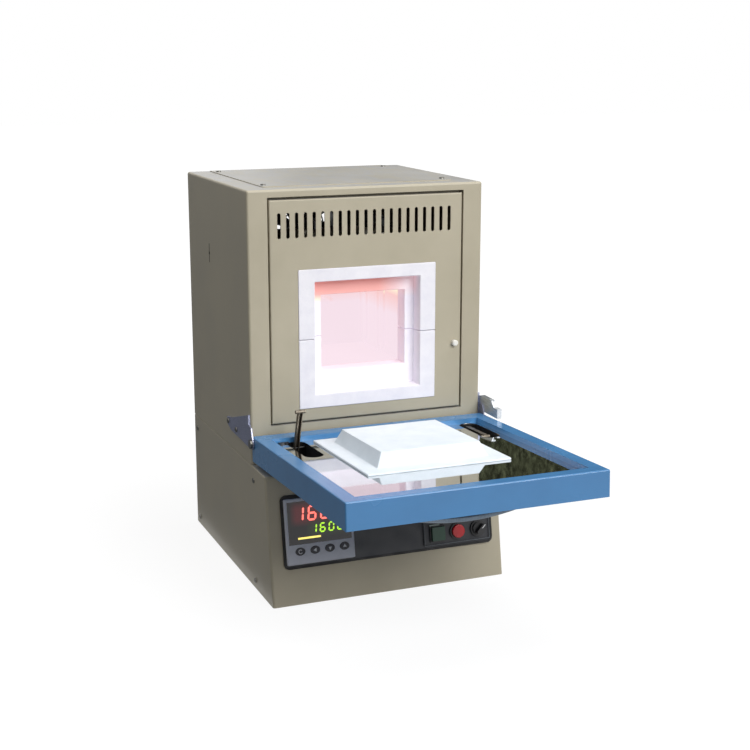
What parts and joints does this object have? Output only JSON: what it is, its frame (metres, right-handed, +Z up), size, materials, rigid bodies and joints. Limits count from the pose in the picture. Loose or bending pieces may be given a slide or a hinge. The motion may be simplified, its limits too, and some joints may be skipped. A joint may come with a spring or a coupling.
{
  "type": "muffle furnace",
  "caption": "Bench-top box furnace with a drop-down door, white fibre mouth and plug, glowing chamber and a control strip on its sloping base.",
  "frame": {"origin": "on the table, half-way across the width, directly under the upper casing's front face", "axes": "+Z up, +X to the right of someone facing the door, +Y towards the back"},
  "size_m": [0.3685, 0.7068, 0.5679],
  "materials": {
    "beige_powder_coat": "fine-textured powder coat, satin",
    "blue_powder_coat": "smooth powder coat, satin",
    "white_fibre": "vacuum-formed alumina fibre board, matt",
    "hot_lining": "alumina fibre board, glowing",
    "grey_fibre": "insulating fibre board, matt",
    "element_ceramic": "dense alumina",
    "molybdenum_disilicide": "glassy oxide skin",
    "aluminium_lead": "mill finish",
    "galvanised_sheet": "spangled zinc",
    "stainless": "brushed stainless steel",
    "mirror_stainless": "mirror-polished stainless sheet",
    "zinc_screw": "bright zinc plate",
    "bush_brass": "turned",
    "black_steel": "black stove enamel",
    "black_plastic": "moulded, matt",
    "black_rubber": "moulded rubber",
    "fascia_plastic": "dark grey, fine texture",
    "grey_plastic": "moulded ABS, matt grey",
    "dark_lens": "smoked polycarbonate, gloss",
    "key_rubber": "moulded silicone",
    "green_plastic": "green polycarbonate cap",
    "red_plastic": "red polycarbonate cap",
    "white_plastic": "white acetal",
    "transformer_iron": "varnished laminations and winding"
  },
  "bodies": {
    "furnace": {"upper_casing": "beige_powder_coat", "front_panel": "beige_powder_coat", "mouth_block_lower": "white_fibre", "mouth_block_upper": "white_fibre", "chamber_walls": "hot_lining", "chamber_floor": "hot_lining", "chamber_roof": "hot_lining", "insulation_floor": "grey_fibre", "insulation_roof": "grey_fibre", "insulation_walls": "grey_fibre", "inner_shell": "galvanised_sheet", "heating_elements": "molybdenum_disilicide", "element_holders": "element_ceramic", "element_leads": "aluminium_lead", "thermocouple": "element_ceramic", "top_cover": "beige_powder_coat", "top_cover_screws": "zinc_screw", "rear_cover": "beige_powder_coat", "rear_cover_screws": "zinc_screw", "fan_housing": "black_plastic", "fan_guard": "black_steel", "base_casing": "beige_powder_coat", "base_pan": "galvanised_sheet", "base_rear_panel": "beige_powder_coat", "cable_gland": "black_plastic", "transformer": "transformer_iron", "power_regulator": "aluminium_lead", "terminal_block": "black_plastic", "control_gasket": "black_rubber", "control_fascia": "fascia_plastic", "controller_case": "grey_plastic", "display_lens": "dark_lens", "switch_panel": "fascia_plastic", "switch_bodies": "black_plastic", "door_switch": "black_plastic", "hinge_plate_left": "stainless", "hinge_plate_right": "stainless", "hinge_pins": "zinc_screw", "stay_bracket": "stainless", "side_screws": "zinc_screw"},
    "door": {"door_frame": "blue_powder_coat", "door_skin": "blue_powder_coat", "door_mirror_plate": "mirror_stainless", "door_insulation": "grey_fibre", "link_pockets": "black_steel", "door_plug": "white_fibre", "hinge_bushes": "bush_brass", "door_handle": "stainless"},
    "left_link": {"stay_link_left": "stainless"},
    "right_link": {"stay_link_right": "stainless"},
    "rotor": {"fan_rotor": "black_plastic"},
    "green_cap": {"green_button": "green_plastic"},
    "red_cap": {"red_button": "red_plastic"},
    "selector": {"selector_knob": "black_plastic"},
    "plunger": {"door_switch_plunger": "white_plastic"},
    "set_key": {"key_set": "key_rubber"},
    "left_key": {"key_left": "key_rubber"},
    "down_key": {"key_down": "key_rubber"},
    "up_key": {"key_up": "key_rubber"}
  },
  "joints": [
    {"name": "door_hinge", "type": "hinge", "parent": "furnace", "child": "door", "pos_m": [0, -0.01131, 0.21497], "axis": [-1, 0, 0], "range_deg": [0, 87.44]},
    {"name": "left_link_fold", "type": "hinge", "parent": "door", "child": "left_link", "pos_m": [-0.124, -0.04159, 0.21162], "axis": [-1, 0, 0], "range_deg": [-79, 0]},
    {"name": "right_link_lift", "type": "hinge", "parent": "door", "child": "right_link", "pos_m": [0.1405, -0.04159, 0.21162], "axis": [1, 0, 0], "range_deg": [-78.44, 0]},
    {"name": "fan_spin", "type": "hinge", "parent": "furnace", "child": "rotor", "pos_m": [0, 0.297, 0.47], "axis": [0, 1, 0], "continuous": true},
    {"name": "green_press", "type": "slide", "parent": "furnace", "child": "green_cap", "axis": [0, 0.9855, -0.1697], "range_m": [0, 0.002], "stiffness_N_per_m": 400, "springref_m": -0.0005},
    {"name": "red_press", "type": "slide", "parent": "furnace", "child": "red_cap", "axis": [0, 0.9855, -0.1697], "range_m": [0, 0.002], "stiffness_N_per_m": 400, "springref_m": -0.0005},
    {"name": "selector_turn", "type": "hinge", "parent": "furnace", "child": "selector", "pos_m": [0.13805, -0.08434, 0.07411], "axis": [0, -0.9855, 0.1697], "range_deg": [-90, 0]},
    {"name": "plunger_press", "type": "slide", "parent": "furnace", "child": "plunger", "axis": [0, 1, 0], "range_m": [0, 0.0045], "stiffness_N_per_m": 300, "springref_m": -0.0005},
    {"name": "set_press", "type": "slide", "parent": "furnace", "child": "set_key", "axis": [0, 0.9855, -0.1697], "range_m": [0, 0.0005], "stiffness_N_per_m": 800, "springref_m": -0.0002},
    {"name": "left_press", "type": "slide", "parent": "furnace", "child": "left_key", "axis": [0, 0.9855, -0.1697], "range_m": [0, 0.0005], "stiffness_N_per_m": 800, "springref_m": -0.0002},
    {"name": "down_press", "type": "slide", "parent": "furnace", "child": "down_key", "axis": [0, 0.9855, -0.1697], "range_m": [0, 0.0005], "stiffness_N_per_m": 800, "springref_m": -0.0002},
    {"name": "up_press", "type": "slide", "parent": "furnace", "child": "up_key", "axis": [0, 0.9855, -0.1697], "range_m": [0, 0.0005], "stiffness_N_per_m": 800, "springref_m": -0.0002}
  ],
  "couplings": [
    {"joint": "left_link_fold", "follows": "door_hinge", "ratio": -0.89707}
  ]
}
